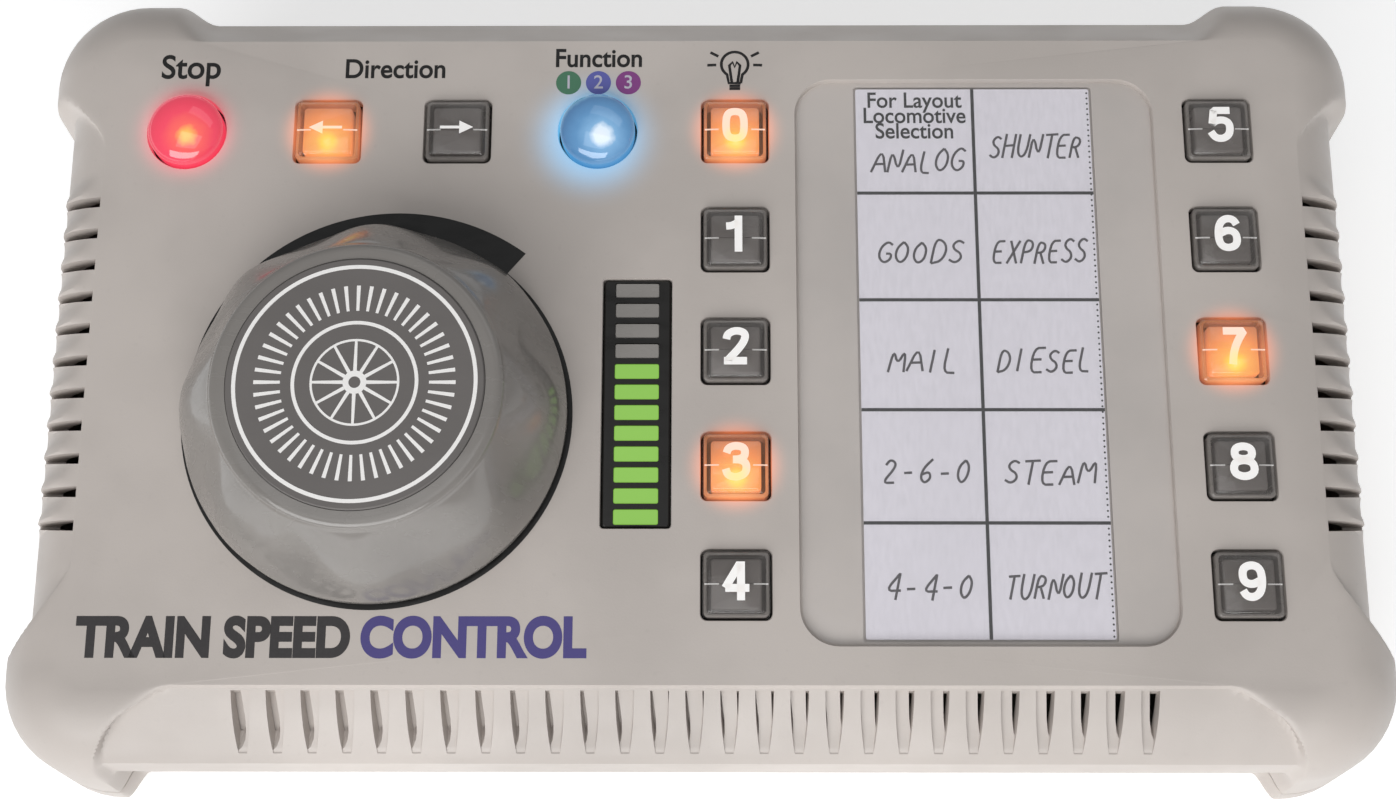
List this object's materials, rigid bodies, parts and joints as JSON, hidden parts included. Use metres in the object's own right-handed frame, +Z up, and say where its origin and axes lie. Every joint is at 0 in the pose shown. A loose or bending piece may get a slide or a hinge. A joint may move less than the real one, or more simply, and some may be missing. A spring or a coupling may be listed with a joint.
{
  "type": "model railway controller",
  "caption": "Low desktop model-train controller: sloped panel with a lobed speed knob, lit square keys, round buttons, bar graph and name card.",
  "frame": {"origin": "on the surface that the feet stand on, under the middle of the console's box", "axes": "+X to the right of a person at the console, +Y towards the rear, +Z up"},
  "size_m": [0.222, 0.1316, 0.0605],
  "materials": {
    "case": "fine moulded texture, warm grey",
    "knob": "polished warm grey",
    "badge": "satin grey with pale printing",
    "smoke_key": "smoke tinted clear",
    "red_dome": "translucent red",
    "blue_dome": "translucent blue",
    "black_plastic": "gloss black",
    "bar_lamp": "translucent lamp segments",
    "clear_window": "clear plastic",
    "card": "printed card",
    "circuit_board": "solder mask green",
    "socket_plastic": "black",
    "switch_plastic": "black",
    "chip": "black",
    "steel": "plated",
    "aluminium_sink": "extruded",
    "rubber_foot": "matt black",
    "ribbon": "grey ribbon"
  },
  "bodies": {
    "console": {"top_cover": "case", "bottom_cover": "case", "card_window": "clear_window", "bar_window": "black_plastic", "panel_board": "circuit_board", "main_board": "circuit_board", "heat_sink": "aluminium_sink", "power_driver": "chip", "rectifier": "chip", "microcontroller": "chip", "smoothing_capacitor": "chip", "board_link": "ribbon", "speed_encoder": "steel", "encoder_nut": "steel", "bar_graph": "bar_lamp", "name_card": "card", "power_socket": "socket_plastic", "track_socket": "socket_plastic", "walkaround_socket": "socket_plastic", "booster_socket": "socket_plastic", "switch_0": "switch_plastic", "switch_1": "switch_plastic", "switch_2": "switch_plastic", "switch_3": "switch_plastic", "switch_4": "switch_plastic", "switch_5": "switch_plastic", "switch_6": "switch_plastic", "switch_7": "switch_plastic", "switch_8": "switch_plastic", "switch_9": "switch_plastic", "direction_switch_left": "switch_plastic", "direction_switch_right": "switch_plastic", "stop_switch": "switch_plastic", "function_switch": "switch_plastic", "foot_1": "rubber_foot", "foot_2": "rubber_foot", "foot_3": "rubber_foot", "foot_4": "rubber_foot", "case_screw_1": "steel", "case_screw_2": "steel", "case_screw_3": "steel", "case_screw_4": "steel"},
    "knob": {"speed_knob": "knob", "knob_badge": "badge", "encoder_shaft": "steel"},
    "key_0": {"key_0": "smoke_key"},
    "key_1": {"key_1": "smoke_key"},
    "key_2": {"key_2": "smoke_key"},
    "key_3": {"key_3": "smoke_key"},
    "key_4": {"key_4": "smoke_key"},
    "key_5": {"key_5": "smoke_key"},
    "key_6": {"key_6": "smoke_key"},
    "key_7": {"key_7": "smoke_key"},
    "key_8": {"key_8": "smoke_key"},
    "key_9": {"key_9": "smoke_key"},
    "direction_key_left": {"direction_key_left": "smoke_key"},
    "direction_key_right": {"direction_key_right": "smoke_key"},
    "stop_button": {"stop_button": "red_dome"},
    "function_button": {"function_button": "blue_dome"}
  },
  "joints": [
    {"name": "knob_turn", "type": "hinge", "parent": "console", "child": "knob", "pos_m": [-0.05165, -0.01092, 0.03795], "axis": [0, -0.1219, 0.9925], "continuous": true},
    {"name": "key_0_press", "type": "slide", "parent": "console", "child": "key_0", "axis": [0, 0.1219, -0.9925], "range_m": [0, 0.0012], "stiffness_N_per_m": 500, "springref_m": -0.002},
    {"name": "key_1_press", "type": "slide", "parent": "console", "child": "key_1", "axis": [0, 0.1219, -0.9925], "range_m": [0, 0.0012], "stiffness_N_per_m": 500, "springref_m": -0.002},
    {"name": "key_2_press", "type": "slide", "parent": "console", "child": "key_2", "axis": [0, 0.1219, -0.9925], "range_m": [0, 0.0012], "stiffness_N_per_m": 500, "springref_m": -0.002},
    {"name": "key_3_press", "type": "slide", "parent": "console", "child": "key_3", "axis": [0, 0.1219, -0.9925], "range_m": [0, 0.0012], "stiffness_N_per_m": 500, "springref_m": -0.002},
    {"name": "key_4_press", "type": "slide", "parent": "console", "child": "key_4", "axis": [0, 0.1219, -0.9925], "range_m": [0, 0.0012], "stiffness_N_per_m": 500, "springref_m": -0.002},
    {"name": "key_5_press", "type": "slide", "parent": "console", "child": "key_5", "axis": [0, 0.1219, -0.9925], "range_m": [0, 0.0012], "stiffness_N_per_m": 500, "springref_m": -0.002},
    {"name": "key_6_press", "type": "slide", "parent": "console", "child": "key_6", "axis": [0, 0.1219, -0.9925], "range_m": [0, 0.0012], "stiffness_N_per_m": 500, "springref_m": -0.002},
    {"name": "key_7_press", "type": "slide", "parent": "console", "child": "key_7", "axis": [0, 0.1219, -0.9925], "range_m": [0, 0.0012], "stiffness_N_per_m": 500, "springref_m": -0.002},
    {"name": "key_8_press", "type": "slide", "parent": "console", "child": "key_8", "axis": [0, 0.1219, -0.9925], "range_m": [0, 0.0012], "stiffness_N_per_m": 500, "springref_m": -0.002},
    {"name": "key_9_press", "type": "slide", "parent": "console", "child": "key_9", "axis": [0, 0.1219, -0.9925], "range_m": [0, 0.0012], "stiffness_N_per_m": 500, "springref_m": -0.002},
    {"name": "direction_key_left_press", "type": "slide", "parent": "console", "child": "direction_key_left", "axis": [0, 0.1219, -0.9925], "range_m": [0, 0.0012], "stiffness_N_per_m": 500, "springref_m": -0.002},
    {"name": "direction_key_right_press", "type": "slide", "parent": "console", "child": "direction_key_right", "axis": [0, 0.1219, -0.9925], "range_m": [0, 0.0012], "stiffness_N_per_m": 500, "springref_m": -0.002},
    {"name": "stop_button_press", "type": "slide", "parent": "console", "child": "stop_button", "axis": [0, 0.1219, -0.9925], "range_m": [0, 0.0012], "stiffness_N_per_m": 500, "springref_m": -0.002},
    {"name": "function_button_press", "type": "slide", "parent": "console", "child": "function_button", "axis": [0, 0.1219, -0.9925], "range_m": [0, 0.0012], "stiffness_N_per_m": 500, "springref_m": -0.002}
  ]
}
